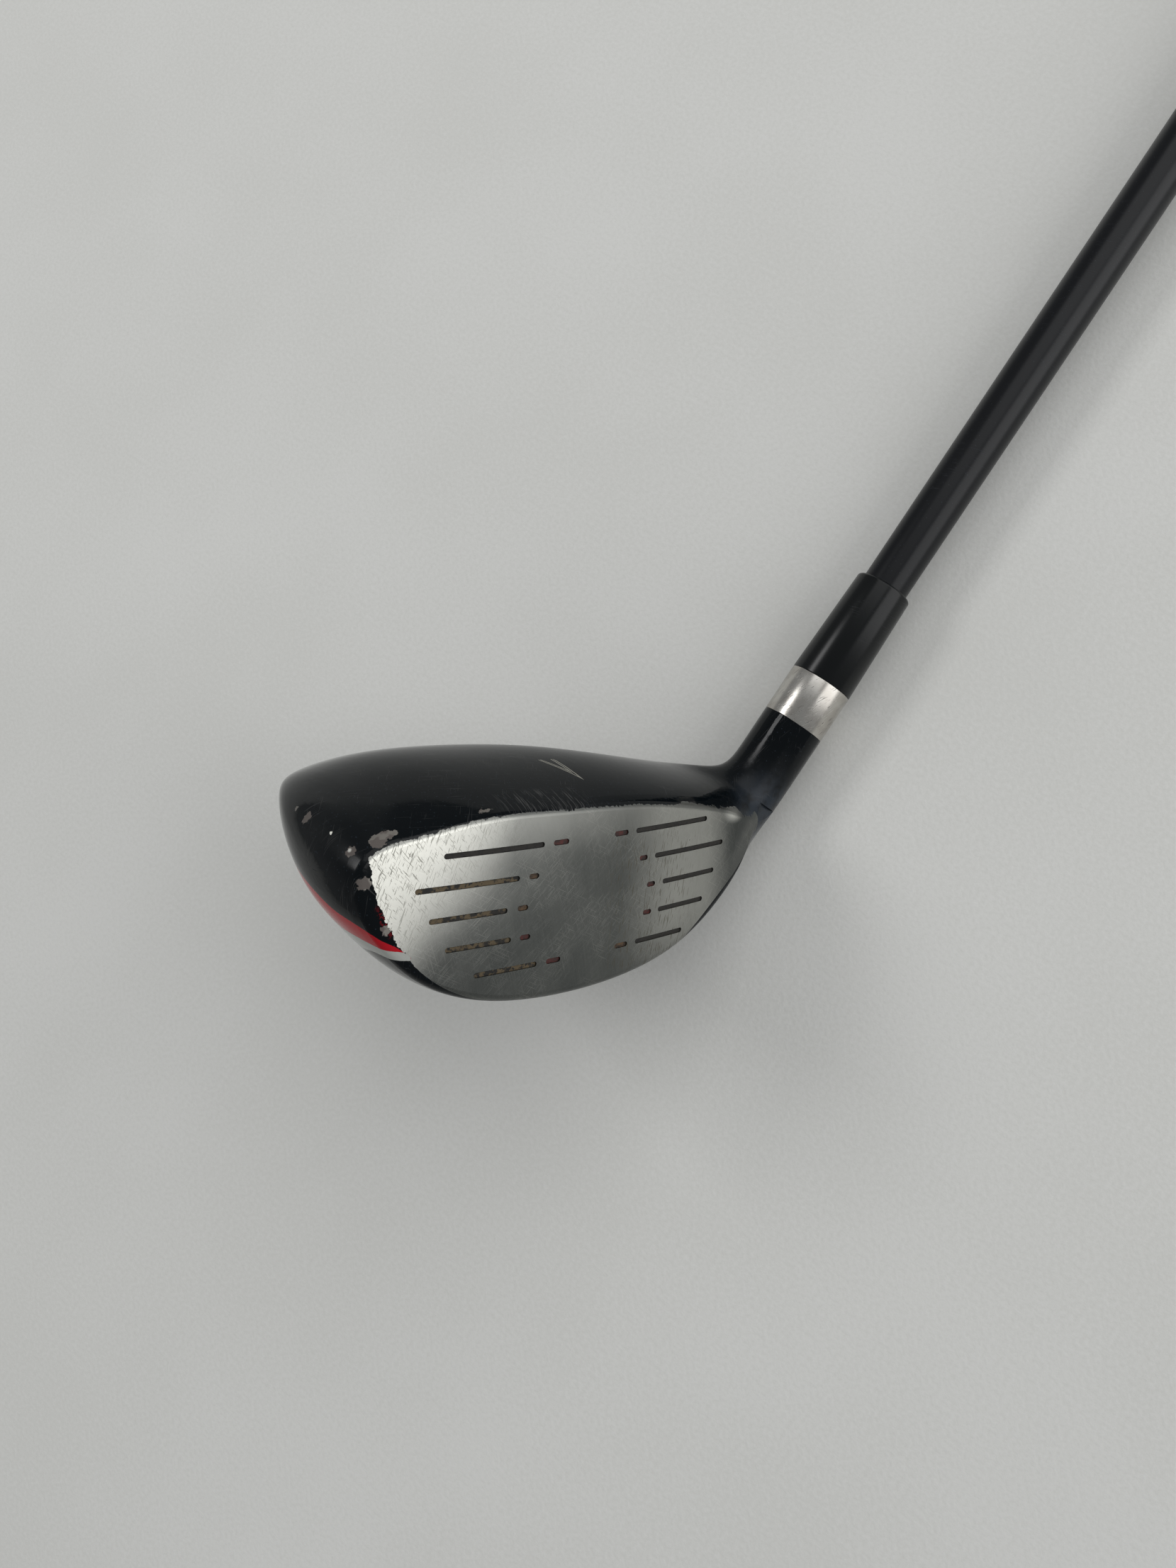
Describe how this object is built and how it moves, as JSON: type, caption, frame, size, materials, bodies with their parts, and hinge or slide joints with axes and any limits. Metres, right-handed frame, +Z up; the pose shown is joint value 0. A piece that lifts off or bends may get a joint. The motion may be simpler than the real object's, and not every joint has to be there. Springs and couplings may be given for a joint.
{
  "type": "fairway wood",
  "caption": "Right-handed fairway wood with a hollow black-painted steel head, bare grooved face, bonded hosel, tapered black shaft and rubber grip, lying at rest.",
  "frame": {"origin": "middle of the footprint on the surface the club lies on", "axes": "+Z up from that surface; +X along the shaft from the head to the grip"},
  "size_m": [1.1184, 0.0752, 0.0831],
  "materials": {
    "face_steel": "bare brushed steel, scratched and scuffed",
    "head_paint": "gloss black with fine metallic flake, red and white stripe at the toe",
    "ring_steel": "turned bare steel",
    "ferrule_plastic": "gloss black",
    "shaft_paint": "gloss black paint over graphite",
    "epoxy": "cured epoxy",
    "tip_brass": "plain",
    "plug_foam": "closed-cell foam",
    "weight_steel": "as cast",
    "rattle_glue": "soft glue",
    "fill_dark": "dirty fill in the long score lines",
    "fill_red": "dull red fill",
    "fill_tan": "dull tan fill",
    "tape": "double-sided tape",
    "grip_rubber": "matt moulded rubber",
    "cap_rubber": "matt moulded rubber"
  },
  "bodies": {
    "root": {"face_plate": "face_steel", "crown_shell": "head_paint", "head_body": "head_paint", "hosel_ring": "ring_steel", "ferrule": "ferrule_plastic", "shaft": "shaft_paint", "shaft_epoxy": "epoxy", "tip_weight": "tip_brass", "bore_plug": "plug_foam", "rear_weight": "weight_steel", "rattle_glue_pad": "rattle_glue", "score_fill_dark": "fill_dark", "score_fill_red": "fill_red", "score_fill_tan": "fill_tan", "grip_tape": "tape", "grip": "grip_rubber", "grip_cap": "cap_rubber"}
  },
  "joints": []
}
